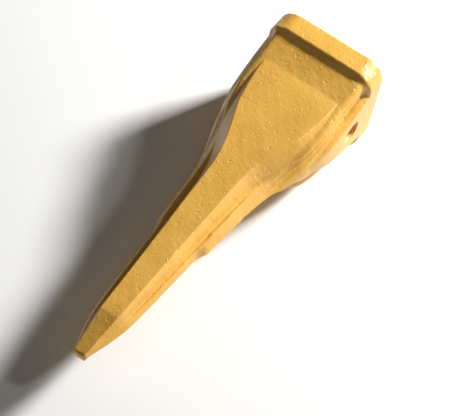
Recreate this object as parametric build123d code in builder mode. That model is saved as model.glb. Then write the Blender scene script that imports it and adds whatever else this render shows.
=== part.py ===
from build123d import *
import os
from math import radians, tan

"""Excavator bucket tooth: a long single-point cast tip with a turn-to-lock cross pin.

The origin is the centre of the rear rim, where the socket opens. +X points
along the tooth to its digging tip, +Z is up, and +Y is the side that the pin
is put in from. Lengths are in millimetres. The casting is the same above and
below its parting line, and the same left and right.
"""

# ---------------------------------------------------------------- driving dimensions
LENGTH = 420.0  # rear rim to tip

COLLAR_LENGTH = 24.5  # the thick band around the socket's mouth
COLLAR_WIDTH = 122.0
COLLAR_HEIGHT = 119.0
COLLAR_CORNER = 20.0
BAND_LEAN = 9.0  # height of the side band's sloping edges

CREASE_X = 58.0  # where the roof meets the pad's flatter plane
CREASE_Z = 46.5
ROOF_SLOPE = 12.0  # degrees, of the roof behind the crease
PAD_SLOPE = 5.2  # degrees, of the pad and of the blade's top face
BEVEL_X = 374.0  # where the chisel facet starts
TIP_HALF_HEIGHT = 5.0
TIP_HALF_WIDTH = 6.2

SOCKET_DEPTH = 128.0
SOCKET_MOUTH = (86.0, 86.0)  # width, height
SOCKET_END = (46.0, 34.0)
SOCKET_CORNER = 10.0

PIN_X = 46.0  # cross pin's axis, from the rim
PIN_RADIUS = 11.0
PIN_CLEARANCE = 0.3
PIN_HALF_LENGTH = 50.0

PIN_CHAMFER = 1.5

SHAFT_OFFSET = 3.8  # drive shaft's axis, forward of the pin's
SHAFT_RADIUS = 4.8
SHAFT_SQUARE = 6.4
SHAFT_TOP = 45.5
SHAFT_CHAMFER = 0.5
HEAD_LENGTH = 12.0
SQUARE_END = 17.0
JOURNAL_RADIUS = 3.1
JOURNAL_END = 13.0
SHAFT_CLEARANCE = 0.2
HEX_FLATS = 5.6
HEX_DEPTH = 8.0

CAM_BACK = 25.0  # inner face of the cam
CAM_LENGTH = 8.0
CAM_HUB = 6.0
CAM_NOSE = 3.2
CAM_REACH = 6.5  # shaft's axis to the centre of the cam's nose
CAM_BORE = SHAFT_SQUARE + 0.1
POCKET_GAP = 0.3

RING_Y = 47.4  # outer face of the retaining ring
RING_THICKNESS = 1.2
RING_OUTER = 5.8
RING_INNER = 3.9
RING_GAP = 2.4
GROOVE_GAP = 0.1

SEAL_Y = 39.0
SEAL_SECTION = 0.8
SEAL_GAP = 0.2

DETENT_RADIUS = 2.6
DETENT_Y = 20.0
DETENT_BOTTOM = 9.6

shaft_bore = SHAFT_RADIUS + SHAFT_CLEARANCE
seal_pitch = shaft_bore - GROOVE_GAP - SEAL_SECTION
cam_front = CAM_BACK + CAM_LENGTH
pocket_radius = CAM_REACH + CAM_NOSE + POCKET_GAP
pocket_back = CAM_HUB + POCKET_GAP


def roof_z(x):
    """Height of the box's roof."""
    return CREASE_Z - (x - CREASE_X) * tan(radians(ROOF_SLOPE))


def pad_z(x):
    """Height of the pad and of the blade's top face."""
    return CREASE_Z - (x - CREASE_X) * tan(radians(PAD_SLOPE))


def across(y):
    """Plane square to the pin at y: its x is the tooth's X, its y is Z, and it faces inwards."""
    return Plane(origin=(PIN_X, y, 0), x_dir=(1, 0, 0), z_dir=(0, -1, 0))


os.makedirs("parts", exist_ok=True)

# ---------------------------------------------------------------- casting, built up
# Each row is one section: x, half-width at the top, half-height, half-width at mid-height.
box_sections = [
    (2.0, 50.0, 56.0, 57.5),
    (22.0, 50.0, roof_z(22), 57.5),
    (60.0, 50.0, roof_z(60), 57.5),
    (98.0, 48.0, roof_z(98), 56.2),
    (119.0, 42.5, 31.5, 53.0),
    (134.0, 35.5, 24.0, 48.6),
    (152.0, 30.8, 19.0, 42.6),
    (180.0, 27.8, 16.6, 36.4),
    (246.0, 23.6, 13.6, 30.4),
    (268.0, 20.4, 12.4, 25.2),
    (345.0, 16.0, 9.2, 21.2),
    (BEVEL_X, 14.0, 7.8, 18.6),
    (LENGTH, TIP_HALF_WIDTH, 2.6, TIP_HALF_WIDTH + 0.8),
]
pad_sections = [
    (CREASE_X - 20, 43.6, pad_z(CREASE_X), 48.0),
    (CREASE_X, 43.4, pad_z(CREASE_X), 50.0),
    (90.0, 40.6, pad_z(90), 50.0),
    (115.0, 36.0, pad_z(115), 46.0),
    (140.0, 27.4, pad_z(140), 39.0),
    (165.0, 19.6, pad_z(165), 33.0),
    (195.0, 15.8, pad_z(195), 27.4),
    (255.0, 13.6, pad_z(255), 22.2),
    (315.0, 11.6, pad_z(315), 17.8),
    (BEVEL_X, 10.0, pad_z(BEVEL_X), 14.2),
    (LENGTH, TIP_HALF_WIDTH, TIP_HALF_HEIGHT, TIP_HALF_WIDTH + 0.8),
]
# Side band with the pin's holes: x, half-height, half-width.
band_sections = [
    (2.0, 36.0, 57.8),
    (25.0, 40.0, 60.6),
    (50.0, 33.0, 61.5),
    (95.0, 19.0, 58.6),
    (125.0, 10.0, 47.5),
]

with BuildPart() as box_body:
    for x, half_top, half_height, half_middle in box_sections:
        with BuildSketch(Plane.YZ.offset(x)):
            with BuildLine():
                Polyline((0, half_height), (half_top, half_height), (half_middle, 0))
                mirror(about=Plane.XZ)
                mirror(about=Plane.YZ)
            make_face()
    loft(ruled=True)

with BuildPart() as pad_body:
    for x, half_top, half_height, half_middle in pad_sections:
        with BuildSketch(Plane.YZ.offset(x)):
            with BuildLine():
                Polyline((0, half_height), (half_top, half_height), (half_middle, 0))
                mirror(about=Plane.XZ)
                mirror(about=Plane.YZ)
            make_face()
    loft(ruled=True)

with BuildPart() as side_band:
    for x, half_height, half_width in band_sections:
        with BuildSketch(Plane.YZ.offset(x)):
            with BuildLine():
                foot = (half_width - BAND_LEAN, half_height)
                edge = (half_width, half_height - BAND_LEAN * half_height / band_sections[0][1])
                Polyline((0, half_height), foot, edge, (half_width, 0))
                mirror(about=Plane.XZ)
                mirror(about=Plane.YZ)
            make_face()
    loft(ruled=True)

with BuildPart() as tooth_casting:
    add(box_body.part)
    add(pad_body.part)
    add(side_band.part)
    with BuildSketch(Plane.YZ):
        RectangleRounded(COLLAR_WIDTH, COLLAR_HEIGHT, COLLAR_CORNER)
    extrude(amount=COLLAR_LENGTH)
    # Socket for the adapter's nose
    for x, (width, height) in ((0, SOCKET_MOUTH), (SOCKET_DEPTH, SOCKET_END)):
        with BuildSketch(Plane.YZ.offset(x)):
            RectangleRounded(width, height, SOCKET_CORNER)
    loft(mode=Mode.SUBTRACT)
    # Bore for the cross pin, through both side walls
    with BuildSketch(across(COLLAR_WIDTH)):
        Circle(PIN_RADIUS + PIN_CLEARANCE)
    extrude(amount=2 * COLLAR_WIDTH, mode=Mode.SUBTRACT)
tooth_casting.part.label = "tooth_casting"
export_step(tooth_casting.part, "parts/tooth_casting.step")

# ---------------------------------------------------------------- cross pin
with BuildPart() as lock_pin:
    with BuildSketch(across(PIN_HALF_LENGTH)):
        Circle(PIN_RADIUS)
    extrude(amount=2 * PIN_HALF_LENGTH)
    chamfer(lock_pin.edges(), PIN_CHAMFER)
    # Bore for the drive shaft, stepped down for its journal
    with BuildSketch(across(PIN_HALF_LENGTH)):
        with Locations((SHAFT_OFFSET, 0)):
            Circle(shaft_bore)
    extrude(amount=PIN_HALF_LENGTH - SQUARE_END + SHAFT_CLEARANCE, mode=Mode.SUBTRACT)
    with BuildSketch(across(PIN_HALF_LENGTH)):
        with Locations((SHAFT_OFFSET, 0)):
            Circle(JOURNAL_RADIUS + SHAFT_CLEARANCE)
    extrude(amount=PIN_HALF_LENGTH - JOURNAL_END + SHAFT_CLEARANCE, mode=Mode.SUBTRACT)
    # Groove for the retaining ring
    with BuildSketch(across(RING_Y + GROOVE_GAP)):
        with Locations((SHAFT_OFFSET, 0)):
            Circle(RING_OUTER + GROOVE_GAP)
    extrude(amount=RING_THICKNESS + 2 * GROOVE_GAP, mode=Mode.SUBTRACT)
    # Window that the cam swings in
    with BuildSketch(across(cam_front + POCKET_GAP)):
        with Locations((SHAFT_OFFSET, 0)):
            Circle(pocket_radius)
        with Locations((SHAFT_OFFSET - pocket_back, -pocket_back)):
            swing = 4 * PIN_RADIUS
            Rectangle(swing, swing, align=(Align.MIN, Align.MIN), mode=Mode.INTERSECT)
    extrude(amount=CAM_LENGTH + 2 * POCKET_GAP, mode=Mode.SUBTRACT)
    # Radial hole for the rubber detent
    with BuildSketch(Plane.XY):
        with Locations((PIN_X + SHAFT_OFFSET, DETENT_Y)):
            Circle(DETENT_RADIUS)
    extrude(amount=-PIN_RADIUS, mode=Mode.SUBTRACT)
lock_pin.part.label = "lock_pin"
export_step(lock_pin.part, "parts/lock_pin.step")

# ---------------------------------------------------------------- drive shaft
with BuildPart() as drive_shaft:
    with BuildSketch(across(SHAFT_TOP)):
        with Locations((SHAFT_OFFSET, 0)):
            Circle(SHAFT_RADIUS)
    extrude(amount=HEAD_LENGTH)
    chamfer(drive_shaft.edges().group_by(Axis.Y)[-1], SHAFT_CHAMFER)
    with BuildSketch(across(SHAFT_TOP - HEAD_LENGTH)):
        with Locations((SHAFT_OFFSET, 0)):
            Rectangle(SHAFT_SQUARE, SHAFT_SQUARE)
    extrude(amount=SHAFT_TOP - HEAD_LENGTH - SQUARE_END)
    with BuildSketch(across(SQUARE_END)):
        with Locations((SHAFT_OFFSET, 0)):
            Circle(JOURNAL_RADIUS)
    extrude(amount=SQUARE_END - JOURNAL_END)
    # Hex socket for the key
    with BuildSketch(across(SHAFT_TOP)):
        with Locations((SHAFT_OFFSET, 0)):
            RegularPolygon(HEX_FLATS / 2, 6, major_radius=False)
    extrude(amount=HEX_DEPTH, mode=Mode.SUBTRACT)
    # Groove for the seal ring
    with BuildSketch(across(SEAL_Y + SEAL_SECTION + SEAL_GAP)):
        with Locations((SHAFT_OFFSET, 0)):
            Circle(shaft_bore)
            Circle(seal_pitch - SEAL_SECTION, mode=Mode.SUBTRACT)
    extrude(amount=2 * (SEAL_SECTION + SEAL_GAP), mode=Mode.SUBTRACT)
drive_shaft.part.label = "drive_shaft"
export_step(drive_shaft.part, "parts/drive_shaft.step")

# ---------------------------------------------------------------- seal ring
with BuildPart() as seal_ring:
    with BuildSketch(Plane.XY):
        with Locations((PIN_X + SHAFT_OFFSET + seal_pitch, SEAL_Y)):
            Circle(SEAL_SECTION)
    revolve(axis=Axis((PIN_X + SHAFT_OFFSET, 0, 0), (0, 1, 0)))
seal_ring.part.label = "seal_ring"
export_step(seal_ring.part, "parts/seal_ring.step")

# ---------------------------------------------------------------- lock cam
with BuildPart() as lock_cam:
    with BuildSketch(across(cam_front)):
        with BuildLine():
            hub = CenterArc((SHAFT_OFFSET, 0), CAM_HUB, 180, 180)
            Line(hub @ 1, (SHAFT_OFFSET + CAM_NOSE, CAM_REACH))
            nose = CenterArc((SHAFT_OFFSET, CAM_REACH), CAM_NOSE, 0, 180)
            Line(nose @ 1, hub @ 0)
        make_face()
        with Locations((SHAFT_OFFSET, 0)):
            Rectangle(CAM_BORE, CAM_BORE, mode=Mode.SUBTRACT)
    extrude(amount=CAM_LENGTH)
lock_cam.part.label = "lock_cam"
export_step(lock_cam.part, "parts/lock_cam.step")

# ---------------------------------------------------------------- retaining ring
with BuildPart() as retaining_ring:
    with BuildSketch(across(RING_Y)):
        with Locations((SHAFT_OFFSET, 0)):
            Circle(RING_OUTER)
            Circle(RING_INNER, mode=Mode.SUBTRACT)
        with Locations((SHAFT_OFFSET, RING_OUTER)):
            Rectangle(RING_GAP, RING_OUTER, align=(Align.CENTER, Align.MAX), mode=Mode.SUBTRACT)
    extrude(amount=RING_THICKNESS)
retaining_ring.part.label = "retaining_ring"
export_step(retaining_ring.part, "parts/retaining_ring.step")

# ---------------------------------------------------------------- rubber detent
with BuildPart() as rubber_detent:
    with BuildSketch(Plane.XY.offset(-SHAFT_SQUARE / 2)):
        with Locations((PIN_X + SHAFT_OFFSET, DETENT_Y)):
            Circle(DETENT_RADIUS)
    extrude(amount=SHAFT_SQUARE / 2 - DETENT_BOTTOM)
rubber_detent.part.label = "rubber_detent"
export_step(rubber_detent.part, "parts/rubber_detent.step")
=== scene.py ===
import math

import bmesh
import bpy
import numpy as np
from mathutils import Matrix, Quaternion, Vector


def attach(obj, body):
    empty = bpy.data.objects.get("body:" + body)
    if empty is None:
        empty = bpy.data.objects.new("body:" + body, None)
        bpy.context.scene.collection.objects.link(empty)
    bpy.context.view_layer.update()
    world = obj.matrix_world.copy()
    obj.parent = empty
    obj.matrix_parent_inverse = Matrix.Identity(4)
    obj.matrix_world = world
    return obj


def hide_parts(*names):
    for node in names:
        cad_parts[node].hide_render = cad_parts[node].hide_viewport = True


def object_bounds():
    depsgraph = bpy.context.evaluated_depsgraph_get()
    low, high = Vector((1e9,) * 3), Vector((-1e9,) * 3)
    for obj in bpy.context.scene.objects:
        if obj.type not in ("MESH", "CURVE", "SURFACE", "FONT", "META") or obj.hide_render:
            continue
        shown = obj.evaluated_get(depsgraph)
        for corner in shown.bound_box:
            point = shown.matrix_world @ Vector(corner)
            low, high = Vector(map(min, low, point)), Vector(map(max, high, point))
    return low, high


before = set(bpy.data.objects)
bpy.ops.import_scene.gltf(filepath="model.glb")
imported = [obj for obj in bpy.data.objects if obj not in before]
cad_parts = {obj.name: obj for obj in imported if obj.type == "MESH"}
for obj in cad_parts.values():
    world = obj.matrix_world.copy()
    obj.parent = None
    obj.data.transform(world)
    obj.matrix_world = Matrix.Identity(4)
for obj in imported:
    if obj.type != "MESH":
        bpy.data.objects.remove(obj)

cad_low, cad_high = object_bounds()

# ---------------------------------------------------------------- cast tooth: shape
# The tip itself: one low-alloy steel sand casting, quenched and tempered, hollow at the rear.
# It is shaped by its pattern, so every edge is round and every inner corner has a cast fillet.
# Lengths are in millimetres here, and are turned to metres as the mesh is made.
# Each curve below runs along the tooth's length, from the rear rim at 0 to the tip.
LENGTH = 420.0
COLLAR_LENGTH = 24.5
COLLAR_HALF_WIDTH = 61.0
COLLAR_HALF_HEIGHT = 59.3
COLLAR_CORNER = 21.0
CREASE_X, CREASE_Z = 58.0, 46.5  # where the roof meets the flatter pad
PAD_SLOPE = math.radians(5.2)
BEVEL_X = 374.0  # where the chisel facet starts
TIP_HALF_HEIGHT = 4.8
PIN_X, BORE_RADIUS = 46.0, 11.3


def along(*rows):
    """A smooth curve through rows of (x, value), held level before and after them."""
    xs, values = (np.array(column, float) for column in zip(*rows))
    slopes = np.gradient(values, xs)

    def curve(x):
        at = np.clip(x, xs[0], xs[-1])
        i = np.clip(np.searchsorted(xs, at, side="right") - 1, 0, len(xs) - 2)
        width = xs[i + 1] - xs[i]
        t = (at - xs[i]) / width
        bulge = t * (1 - t) * width * ((1 - t) * slopes[i] - t * slopes[i + 1])
        blend = t * t * (3 - 2 * t)
        return (1 - blend) * values[i] + blend * values[i + 1] + bulge

    return curve


def meet(a, b, radius):
    """The overlap of two solids, with the edge where they meet rounded to that radius."""
    near = np.maximum(radius - np.abs(a - b), 0) / radius
    return np.maximum(a, b) + near * near * radius * 0.25


def join(a, b, radius):
    """Two solids as one, with a cast fillet in the corner between them."""
    return -meet(-a, -b, radius)


def facet(u, v, u0, v0, u1, v1):
    """How far outside the line from (u0, v0) down to (u1, v1) a point is."""
    du, dv = u1 - u0, v1 - v0
    return ((u - u0) * -dv + (v - v0) * du) / np.hypot(du, dv)


# The box around the adapter's nose, running on as the core of the blade: its half-width at mid-height
# and at the shoulder, its half-height, and how round the shoulder is.
core_half = along(
    (0, 57.0), (60, 57.8), (98, 56.6), (112, 54.8), (122, 52.8), (136, 48.2), (150, 43.4), (170, 38.2),
    (190, 35.2), (215, 33.0), (244, 30.8), (256, 29.6), (263, 26.2), (285, 24.4), (315, 23.0),
    (345, 21.2), (374, 18.6), (395, 14.2), (410, 9.8), (420, 6.9),
)
core_shoulder = along(
    (0, 53.0), (60, 52.6), (98, 50.8), (119, 46.0), (132, 40.0), (150, 34.2), (170, 30.4),
    (190, 28.4), (215, 26.6), (246, 24.6), (268, 21.0), (285, 20.2), (315, 18.6),
    (345, 16.6), (374, 14.4), (395, 11.2), (410, 8.4), (420, 6.3),
)
core_top = along(
    (0, 46.0), (18, 52.2), (26, 54.0), (31, 53.1), (44, 49.9), (58, 46.5), (98, 36.8), (112, 33.0),
    (122, 29.2), (136, 23.4), (156, 18.8), (180, 16.6), (225, 14.6), (268, 12.4), (315, 10.4),
    (345, 9.2), (374, 7.8), (400, 4.6), (420, 2.4),
)
core_edge = along((0, 7.5), (110, 6.0), (150, 4.0), (200, 2.6), (300, 2.0), (420, 1.4))
# Shallow flutes along the sides: how high each one lies, and how deep it is.
FLUTE_WIDTH = 2.1
lower_flute = along((24, 38), (60, 31), (95, 23), (120, 15), (150, 6.0), (175, 4.0))
lower_depth = along((34, 0), (52, 3.0), (100, 2.8), (150, 1.8), (175, 0))
upper_flute = along((24, 46), (60, 39), (95, 31), (120, 22.5), (150, 13.0), (175, 10.5))
upper_depth = along((34, 0), (52, 2.5), (100, 2.3), (140, 1.4), (160, 0))
flutes = [(lower_flute, lower_depth), (upper_flute, upper_depth)]
# A gutter at the foot of the blade's raised middle.
GUTTER_WIDTH = 2.2
gutter_depth = along((150, 0), (200, 1.6), (374, 1.8), (405, 0))
# The pad, which draws in to the blade's top face: its half-width, how far its sides lean out,
# and the fillet at their foot.
pad_half = along(
    (20, 44.6), (57, 43.4), (75, 42.4), (90, 40.6), (115, 36.0), (140, 27.4), (165, 19.6), (180, 17.0),
    (195, 15.8), (225, 14.8), (255, 13.6), (285, 12.6), (315, 11.6), (345, 10.8), (374, 10.0),
    (400, 7.8), (420, 5.9),
)
pad_flare = along(
    (20, 0.9), (57, 0.9), (100, 0.75), (140, 0.58), (180, 0.40), (260, 0.30), (374, 0.24), (420, 0.2),
)
pad_fillet = along((40, 0.15), (66, 0.15), (95, 1.0), (130, 1.8), (200, 1.6), (420, 1.0))
# The band along each side, with the pin's hole in it: its half-height, its half-width, and the fillet
# at its edge. Its upper edge slopes from BAND_BACK inside the face, BAND_RISE above that half-height,
# to BAND_DROP below it at the face.
BAND_BACK, BAND_RISE, BAND_DROP = 5.0, 3.0, 2.5
band_top = along((0, 32), (22, 36), (34, 33), (60, 25), (95, 15), (125, 8), (200, 6), (300, 3), (420, 1))
band_half = along(
    (0, 61.0), (24, 61.1), (50, 61.3), (70, 61.0), (95, 58.6), (110, 54.6), (125, 47.5), (150, 30.0),
    (200, 10.0), (300, 5.0), (420, 1.0),
)
band_fillet = along((0, 0.2), (26, 0.2), (42, 1.6))
# How round the other edges are.
CREASE_ROUND, PAD_ROUND, BAND_ROUND, BAND_TOP_ROUND = 0.25, 0.9, 1.6, 1.2
COLLAR_ROUND, COLLAR_FILLET, TIP_ROUND, RIM_ROUND = 3.0, 6.0, 3.0, 2.5


def rounded(u, v, half_u, half_v, corner):
    """How far outside a rectangle with round corners a point is."""
    past_u, past_v = u - half_u + corner, v - half_v + corner
    past_corner = np.hypot(np.maximum(past_u, 0), np.maximum(past_v, 0))
    return past_corner + np.minimum(np.maximum(past_u, past_v), 0) - corner


def outside(x, y, z):
    """Below zero inside the casting's outer shape and above zero outside it, in millimetres."""
    u, v = np.abs(y), np.abs(z)
    top, half = core_top(x), core_half(x)
    side = facet(u, v, core_shoulder(x), top, half, 0.0)
    for level, depth in flutes:
        side = side + depth(x) * np.exp(-((v - level(x)) / FLUTE_WIDTH) ** 2)

    plane = CREASE_Z - (x - CREASE_X) * math.tan(PAD_SLOPE)
    bevel_z = CREASE_Z - (BEVEL_X - CREASE_X) * math.tan(PAD_SLOPE)
    bevel = bevel_z - (x - BEVEL_X) * (bevel_z - TIP_HALF_HEIGHT) / (LENGTH - BEVEL_X)
    face = np.minimum(plane, bevel)
    lean = pad_flare(x)
    gutter = pad_half(x) + lean * (face - top) + GUTTER_WIDTH
    dip = gutter_depth(x) * np.exp(-((u - gutter) / GUTTER_WIDTH) ** 2)
    core = meet(v - top + dip, side, core_edge(x))
    pad_side = (u - pad_half(x) - lean * (face - v)) / np.sqrt(1 + lean * lean)
    pad_face = meet(v - plane, v - bevel, CREASE_ROUND)
    pad = np.maximum(meet(pad_face, pad_side, PAD_ROUND), side)

    reach, rise = band_half(x), band_top(x)
    slope = facet(u, v, reach - BAND_BACK, rise + BAND_RISE, reach, rise - BAND_DROP)
    band = meet(meet(u - reach, slope, BAND_ROUND), v - rise - BAND_RISE, BAND_TOP_ROUND)
    ring = rounded(u, v, COLLAR_HALF_WIDTH, COLLAR_HALF_HEIGHT, COLLAR_CORNER)
    collar = meet(ring, x - COLLAR_LENGTH, COLLAR_ROUND)
    body = join(join(core, pad, pad_fillet(x)), collar, COLLAR_FILLET)
    body = join(body, band, band_fillet(x))
    return meet(meet(body, x - LENGTH, TIP_ROUND), -x, RIM_ROUND)


# The hollow for the adapter's nose, with a lip rounded into the rear rim.
SOCKET_DEPTH = 128.0
SOCKET_CORNER = 10.0
SOCKET_END_ROUND = 9.0
LIP = 1.6
socket_width = along((0, 43.0), (SOCKET_DEPTH, 23.0))
socket_height = along((0, 43.0), (SOCKET_DEPTH, 17.0))


def in_socket(x, y, z):
    """Below zero inside the hollow for the adapter's nose."""
    lip = LIP * np.clip(1 - x / LIP, 0, 1) ** 2
    ring = rounded(np.abs(y), np.abs(z), socket_width(x) + lip, socket_height(x) + lip, SOCKET_CORNER)
    return meet(ring, x - SOCKET_DEPTH, SOCKET_END_ROUND)


HALVINGS = 27
FINE = 5  # trial rays for each ray that is kept
TURN_SHARE = 0.35  # how strongly the rays crowd to the edges
SMOOTHINGS = 2


def skin(field, stations, steps, reach):
    """Rings of points where rays square to the tooth's length leave a solid: stations x around x 3.

    A quarter of each ring is found, with its points crowded to the edges, and is mirrored to the others.
    """
    def leave(x, angle):
        low = np.zeros(np.broadcast(x, angle).shape)
        high = np.full(low.shape, reach)
        for _ in range(HALVINGS):
            middle = (low + high) / 2
            inside = field(x, middle * np.cos(angle), middle * np.sin(angle)) < 0
            low, high = np.where(inside, middle, low), np.where(inside, high, middle)
        return low

    x = stations[:, None]
    fine = np.linspace(0, math.pi / 2, FINE * steps + 1)
    radius = leave(x, fine[None, :])
    along_y, along_z = np.diff(radius * np.cos(fine), axis=1), np.diff(radius * np.sin(fine), axis=1)
    length = np.hypot(along_y, along_z)
    heading = np.unwrap(np.arctan2(along_z, along_y), axis=1)
    turn = np.zeros_like(length)
    turn[:, 1:] = np.abs(np.diff(heading, axis=1))
    weight = length / length.sum(axis=1, keepdims=True)
    weight += TURN_SHARE * turn / (turn.sum(axis=1, keepdims=True) + 1e-9)
    walked = np.concatenate([np.zeros((len(stations), 1)), np.cumsum(weight, axis=1)], axis=1)
    walked /= walked[:, -1:]
    even = np.linspace(0, 1, steps + 1)
    angle = np.stack([np.interp(even, row, fine) for row in walked])
    for _ in range(SMOOTHINGS):
        angle[1:-1] = (angle[:-2] + 2 * angle[1:-1] + angle[2:]) / 4
    radius = leave(x, angle)
    turned = [angle, math.pi - angle[:, -2::-1], math.pi + angle[:, 1:], 2 * math.pi - angle[:, -2:0:-1]]
    angle = np.concatenate(turned, axis=1)
    radius = np.concatenate([radius, radius[:, -2::-1], radius[:, 1:], radius[:, -2:0:-1]], axis=1)
    y, z = radius * np.cos(angle), radius * np.sin(angle)
    return np.stack([np.broadcast_to(x, radius.shape), y, z], axis=2)


def spaced(*runs):
    """Stations from runs of (start, end, step)."""
    parts = [np.linspace(a, b, max(2, round((b - a) / step) + 1))[:-1] for a, b, step in runs]
    return np.concatenate(parts + [[runs[-1][1]]])


AROUND = 100  # steps in a quarter of a ring
OUTER_REACH, INNER_REACH = 95.0, 80.0
outer_stations = spaced(
    (0.02, 2.4, 0.4), (2.4, 18, 1.8), (18, 42, 0.7), (42, 142, 1.0), (142, 370, 1.3), (370, 380, 0.7),
    (380, 417, 1.2), (417, 419.98, 0.35),
)
inner_stations = spaced((0.0, LIP, 0.4), (LIP, 118, 5.0), (118, 127.9, 0.9))
outer = skin(outside, outer_stations, AROUND, OUTER_REACH)
inner = skin(in_socket, inner_stations, AROUND, INNER_REACH)


def cap(ring, rings=8):
    """Rings that close the end of a tube towards its middle."""
    return [ring * [1, 1 - k / rings, 1 - k / rings] for k in range(1, rings)]


# One tube: from the socket's end out to the rim, across it, and along the outside to the tip.
rim = [inner[0] * (1 - k) + outer[0] * k for k in (0.25, 0.5, 0.75)]
rings = cap(inner[-1])[::-1] + list(inner[::-1]) + rim + list(outer) + cap(outer[-1])
count = len(rings[0])
points = np.concatenate([np.concatenate(rings), [rings[0].mean(0)], [rings[-1].mean(0)]])
step = np.arange(count)
quads = [
    k * count + np.stack([step, np.roll(step, -1), np.roll(step, -1) + count, step + count], axis=1)
    for k in range(len(rings) - 1)
]
faces = np.concatenate(quads).tolist()
last = (len(rings) - 1) * count
for k in range(count):
    faces.append([(k + 1) % count, k, len(points) - 2])
    faces.append([last + k, last + (k + 1) % count, len(points) - 1])


def mesh_piece(name, points, faces):
    """A piece from points in millimetres, with its faces turned outwards."""
    mesh = bpy.data.meshes.new(name)
    mesh.from_pydata((np.asarray(points) * 0.001).tolist(), [], faces)
    shell = bmesh.new()
    shell.from_mesh(mesh)
    bmesh.ops.remove_doubles(shell, verts=shell.verts, dist=1e-6)
    bmesh.ops.recalc_face_normals(shell, faces=shell.faces)
    shell.to_mesh(mesh)
    shell.free()
    piece = bpy.data.objects.new(name, mesh)
    bpy.context.scene.collection.objects.link(piece)
    return piece


casting = mesh_piece("tooth_casting_skin", points, faces)

# The sand leaves the skin slightly uneven, with a few pits and beads. The whole skin is set in a little,
# so that what stands proud of it stays inside the CAD part's size.
random = np.random.default_rng(11)
WAVE_SPREAD = (0.75, 1.35)


def unevenness(points, wavelength, waves=14):
    """A random wavy field of about that wavelength in millimetres, mostly within plus and minus 1."""
    total = np.zeros(len(points))
    for _ in range(waves):
        direction = random.normal(size=3)
        direction *= 2 * math.pi / (np.linalg.norm(direction) * wavelength * random.uniform(*WAVE_SPREAD))
        total += np.sin(points @ direction + random.uniform(0, 2 * math.pi))
    return total * math.sqrt(2 / waves)


def coordinates(mesh):
    """The mesh's points, in millimetres."""
    flat = np.zeros(3 * len(mesh.vertices), np.float32)
    mesh.vertices.foreach_get("co", flat)
    return flat.reshape(-1, 3).astype(float) * 1000


def outward(mesh):
    """The way that the surface faces at each point."""
    return np.array([v.normal for v in mesh.vertices], float)


SWELLS = ((0.08, 42), (0.04, 12), (0.03, 5))  # height and wavelength
SPOTS = 150
SPOT_SIZE = (0.9, 1.7)
SPOT_HEIGHTS = [-0.4, -0.3, 0.25, 0.35]
SKIN_INSET = 0.25
place = coordinates(casting.data)
lift = sum(height * unevenness(place, wavelength) for height, wavelength in SWELLS)
for spot in random.choice(len(place), SPOTS, replace=False):
    size, height = random.uniform(*SPOT_SIZE), random.choice(SPOT_HEIGHTS)
    lift += height * np.exp(-((place - place[spot]) ** 2).sum(axis=1) / size**2)
place += outward(casting.data) * (lift - SKIN_INSET)[:, None]
casting.data.vertices.foreach_set("co", (place * 0.001).astype(np.float32).ravel())

# The cross bore is drilled after casting, with a small chamfer at each outer face.
BORE_CHAMFER, CHAMFER_RISE = 1.2, 0.9
BORE_FACE = 60.6
CUTTER_END = 80.0
SIDES = 72
SKIN_TRIANGLES = 190000
EDGE_ANGLE = math.radians(38)
cutter_half = [
    (BORE_FACE - BORE_CHAMFER, BORE_RADIUS), (BORE_FACE, BORE_RADIUS + CHAMFER_RISE),
    (CUTTER_END, BORE_RADIUS + CHAMFER_RISE),
]
cutter_profile = [(-y, r) for y, r in cutter_half[::-1]] + cutter_half
around = np.arange(SIDES) * 2 * math.pi / SIDES
cutter_points = [(PIN_X + r * math.cos(a), y, r * math.sin(a)) for y, r in cutter_profile for a in around]
cutter_faces = [
    [k * SIDES + j, k * SIDES + (j + 1) % SIDES, (k + 1) * SIDES + (j + 1) % SIDES, (k + 1) * SIDES + j]
    for k in range(len(cutter_profile) - 1) for j in range(SIDES)
]
far_end = (len(cutter_profile) - 1) * SIDES
cutter_faces += [list(range(SIDES)), list(range(far_end, far_end + SIDES))]
cutter = mesh_piece("bore_cutter", cutter_points, cutter_faces)
cut = casting.modifiers.new("bore", "BOOLEAN")
cut.operation, cut.object, cut.solver = "DIFFERENCE", cutter, "MANIFOLD"
thin = casting.modifiers.new("thin", "DECIMATE")
thin.ratio = SKIN_TRIANGLES / (2 * len(faces))
bored = bpy.data.meshes.new_from_object(casting.evaluated_get(bpy.context.evaluated_depsgraph_get()))
casting.modifiers.clear()
casting.data = bored
bpy.data.objects.remove(cutter)
casting.data.shade_smooth()
casting.data.set_sharp_from_angle(angle=EDGE_ANGLE)


def add(tree, kind, inputs=None, **settings):
    """Adds a node; an input is given a value, or another node's output to link."""
    made = tree.nodes.new(kind)
    for name, value in settings.items():
        setattr(made, name, value)
    for name, value in (inputs or {}).items():
        if isinstance(value, bpy.types.NodeSocket):
            tree.links.new(value, made.inputs[name])
        else:
            made.inputs[name].default_value = value
    return made


def linear(code):
    """An sRGB hex colour as linear red, green, blue and alpha."""
    channels = [int(code[k:k + 2], 16) / 255 for k in (1, 3, 5)]
    return [c / 12.92 if c <= 0.04045 else ((c + 0.055) / 1.055) ** 2.4 for c in channels] + [1.0]


def start_material(name):
    """A material, with its tree, its Principled shader and its object coordinates."""
    made = bpy.data.materials.new(name)
    made.use_nodes = True
    tree = made.node_tree
    tree.nodes.clear()
    shader = add(tree, "ShaderNodeBsdfPrincipled")
    add(tree, "ShaderNodeOutputMaterial", {"Surface": shader.outputs["BSDF"]})
    return made, tree, shader, add(tree, "ShaderNodeTexCoord").outputs["Object"]


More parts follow.
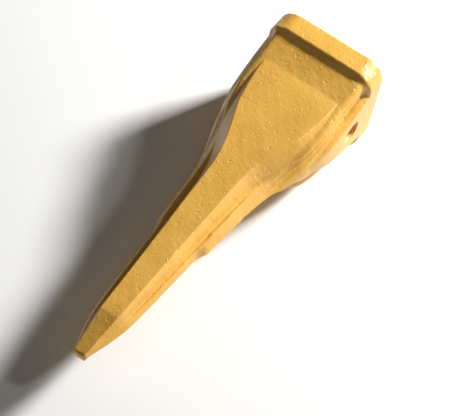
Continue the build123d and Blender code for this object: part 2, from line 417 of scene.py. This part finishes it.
# Ochre alkyd enamel sprayed over the as-cast skin: a soft gloss over fine sand grain, with a few pimples,
# slightly deeper where the spray lay thick, and knocked off in pale chips at the collar's corner.
paint, tree, shader, spot = start_material("ochre_enamel_on_cast_steel")
PAINT_LIGHT, PAINT_DEEP, CHIP_PALE = linear("#E8B452"), linear("#D8A345"), linear("#D9D3DE")
# Real sand grain is about 0.3 mm across: it is drawn coarser, so that it shows.
PAINT_CLOUD, SAND_GRAIN, PIMPLE, CHIP = 1 / 0.045, 1 / 0.0013, 1 / 0.0055, 1 / 0.0035
cloud = add(tree, "ShaderNodeTexNoise", {"Vector": spot, "Scale": PAINT_CLOUD, "Detail": 4.0,
                                         "Roughness": 0.55})
shade = add(tree, "ShaderNodeMapRange", {"Value": cloud.outputs["Fac"], "From Min": 0.35, "From Max": 0.68})
colour = add(tree, "ShaderNodeMix", {"Factor": shade.outputs["Result"], "A": PAINT_LIGHT, "B": PAINT_DEEP},
             data_type="RGBA")
sand = add(tree, "ShaderNodeTexNoise", {"Vector": spot, "Scale": SAND_GRAIN, "Detail": 3.0,
                                        "Roughness": 0.6})
lumps = add(tree, "ShaderNodeTexNoise", {"Vector": spot, "Scale": PIMPLE, "Detail": 1.0, "Roughness": 0.5})
pimples = add(tree, "ShaderNodeMapRange", {"Value": lumps.outputs["Fac"], "From Min": 0.70,
                                           "From Max": 0.78})
pits = add(tree, "ShaderNodeMapRange", {"Value": lumps.outputs["Fac"], "From Min": 0.31, "From Max": 0.24})
both = add(tree, "ShaderNodeMath", {0: pimples.outputs["Result"], 1: pits.outputs["Result"]},
           operation="SUBTRACT")
fine = add(tree, "ShaderNodeBump", {"Height": sand.outputs["Fac"], "Strength": 0.65, "Distance": 0.0006})
relief = add(tree, "ShaderNodeBump", {"Height": both.outputs["Value"], "Normal": fine.outputs["Normal"],
                                      "Strength": 0.55, "Distance": 0.0005})
CHIPPED_CORNER, CHIPPED_REACH = (0.012, 0.049, 0.056), 0.022
away = add(tree, "ShaderNodeVectorMath", {0: spot, 1: CHIPPED_CORNER}, operation="DISTANCE")
near = add(tree, "ShaderNodeMapRange", {"Value": away.outputs["Value"], "From Min": CHIPPED_REACH,
                                        "From Max": 0.0, "To Max": 0.30})
flakes = add(tree, "ShaderNodeTexNoise", {"Vector": spot, "Scale": CHIP, "Detail": 5.0, "Roughness": 0.65})
chance = add(tree, "ShaderNodeMath", {0: flakes.outputs["Fac"], 1: near.outputs["Result"]}, operation="ADD")
chipped = add(tree, "ShaderNodeMapRange", {"Value": chance.outputs["Value"], "From Min": 0.76,
                                           "From Max": 0.82})
skin_colour = add(tree, "ShaderNodeMix", {"Factor": chipped.outputs["Result"], "A": colour.outputs["Result"],
                                          "B": CHIP_PALE}, data_type="RGBA")
tree.links.new(skin_colour.outputs["Result"], shader.inputs["Base Color"])
tree.links.new(relief.outputs["Normal"], shader.inputs["Normal"])
shader.inputs["Roughness"].default_value = 0.34
shader.inputs["Specular IOR Level"].default_value = 0.36
shader.inputs["Coat Weight"].default_value = 0.14
shader.inputs["Coat Roughness"].default_value = 0.12
casting.data.materials.clear()
casting.data.materials.append(paint)
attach(casting, "tooth")
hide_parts("tooth_casting")

# ---------------------------------------------------------------- lock pin and what it holds
# The cross pin is turned from hardened bar and blackened. A shaft with a hex socket turns a cam in it.
# The shaft is held by a snap ring, sealed by an O-ring and kept in place by a rubber detent.


def steel(name, dark, light, roughness, mark_length):
    """Turned or stamped steel, with marks round the pin's axis that are drawn coarse enough to show."""
    made, tree, shader, spot = start_material(name)
    stretched = add(tree, "ShaderNodeMapping", {"Vector": spot, "Scale": (1.0, 12.0, 1.0)})
    marks = add(tree, "ShaderNodeTexNoise", {"Vector": stretched.outputs["Vector"],
                                             "Scale": 1 / mark_length, "Detail": 4.0})
    colour = add(tree, "ShaderNodeMix", {"Factor": marks.outputs["Fac"], "A": linear(dark),
                                         "B": linear(light)}, data_type="RGBA")
    relief = add(tree, "ShaderNodeBump", {"Height": marks.outputs["Fac"], "Strength": 0.2,
                                          "Distance": 0.0002})
    tree.links.new(colour.outputs["Result"], shader.inputs["Base Color"])
    tree.links.new(relief.outputs["Normal"], shader.inputs["Normal"])
    shader.inputs["Metallic"].default_value = 1.0
    shader.inputs["Roughness"].default_value = roughness
    return made


BLOOM = 1 / 0.0033


def rubber(name, dark, light):
    """Moulded rubber: matt, with a faint bloom."""
    made, tree, shader, spot = start_material(name)
    bloom = add(tree, "ShaderNodeTexNoise", {"Vector": spot, "Scale": BLOOM, "Detail": 4.0})
    colour = add(tree, "ShaderNodeMix", {"Factor": bloom.outputs["Fac"], "A": linear(dark),
                                         "B": linear(light)}, data_type="RGBA")
    tree.links.new(colour.outputs["Result"], shader.inputs["Base Color"])
    shader.inputs["Roughness"].default_value = 0.7
    return made


# The blackened pin is the darkest steel, with a low sheen. The oiled shaft is the brightest, and the
# forged cam is duller and warmer. The snap ring is a dark, flat grey. The O-ring is nearly black and
# matt, and the detent a dull red-brown.
finishes = {
    "lock_pin": (steel("blackened_steel", "#1B1B1D", "#35353A", 0.45, 0.002), "pin_steel"),
    "drive_shaft": (steel("oiled_turned_steel", "#4A4A4D", "#77777B", 0.35, 0.0011), "drive_steel"),
    "lock_cam": (steel("forged_steel", "#3A3836", "#625F5C", 0.5, 0.0025), "cam_steel"),
    "retaining_ring": (steel("phosphated_spring_steel", "#2A2A2E", "#44444A", 0.5, 0.0014), "spring_steel"),
    "seal_ring": (rubber("nitrile_rubber", "#0C0C0C", "#1A1A1A"), "seal_rubber"),
    "rubber_detent": (rubber("red_brown_rubber", "#3A1510", "#56221A"), "detent_rubber"),
}
for name, (finish, slot) in finishes.items():
    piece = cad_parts[name]
    piece.data.materials.clear()
    piece.data.materials.append(finish)

# ---------------------------------------------------------------- floor, light and camera
# A plain pale floor under soft studio light from the pin's side and from behind the collar.
FLOOR_HALF, FLOOR_GAP = 6, 0.0002
floor_corners = [(a * FLOOR_HALF, b * FLOOR_HALF, 0) for a, b in ((-1, -1), (1, -1), (1, 1), (-1, 1))]
floor_mesh = bpy.data.meshes.new("floor")
floor_mesh.from_pydata(floor_corners, [], [(0, 1, 2, 3)])
floor = bpy.data.objects.new("floor", floor_mesh)
floor.location.z = cad_low.z - FLOOR_GAP
bpy.context.scene.collection.objects.link(floor)
floor_finish, tree, shader, spot = start_material("pale_floor")
shader.inputs["Base Color"].default_value = linear("#F2F2F0")
shader.inputs["Roughness"].default_value = 0.9
floor.data.materials.append(floor_finish)


LIT_POINT = Vector((0.15, 0, 0))


def soft_light(name, towards, distance, size, power):
    """A square area light in that direction from the tooth, facing it."""
    lamp = bpy.data.lights.new(name, "AREA")
    lamp.energy, lamp.size = power, size
    holder = bpy.data.objects.new(name, lamp)
    direction = Vector(towards).normalized()
    holder.location = LIT_POINT + direction * distance
    holder.rotation_mode = "QUATERNION"
    holder.rotation_quaternion = direction.to_track_quat("Z", "Y")
    bpy.context.scene.collection.objects.link(holder)


soft_light("key", towards=(-0.76, 0.37, 0.49), distance=2.4, size=0.40, power=116)
soft_light("edge", towards=(-0.28, 0.58, 0.75), distance=2.4, size=0.20, power=6)
soft_light("fill", towards=(0.6, 0.1, 1.0), distance=2.6, size=1.8, power=5)
sky = bpy.data.worlds.new("studio")
sky.use_nodes = True
sky.node_tree.nodes["Background"].inputs["Color"].default_value = linear("#F8EAD6")
sky.node_tree.nodes["Background"].inputs["Strength"].default_value = 0.035
bpy.context.scene.world = sky
bpy.context.scene.view_settings.view_transform = "Standard"

VIEW_AZIMUTH, VIEW_ELEVATION, VIEW_ROLL = math.radians(23.88), math.radians(55.90), math.radians(12.72)
VIEW_TARGET, VIEW_DISTANCE = Vector((0.1987, 0.0159, 0.0)), 2.1215
level = math.cos(VIEW_ELEVATION)
back = Vector((level * math.cos(VIEW_AZIMUTH), level * math.sin(VIEW_AZIMUTH), math.sin(VIEW_ELEVATION)))
lens = bpy.data.cameras.new("camera")
lens.lens, lens.sensor_width = 173.3, 36.0
camera = bpy.data.objects.new("camera", lens)
camera.rotation_mode = "QUATERNION"
camera.rotation_quaternion = back.to_track_quat("Z", "Y") @ Quaternion((0, 0, 1), VIEW_ROLL)
camera.location = VIEW_TARGET + back * VIEW_DISTANCE
bpy.context.scene.collection.objects.link(camera)
bpy.context.scene.camera = camera
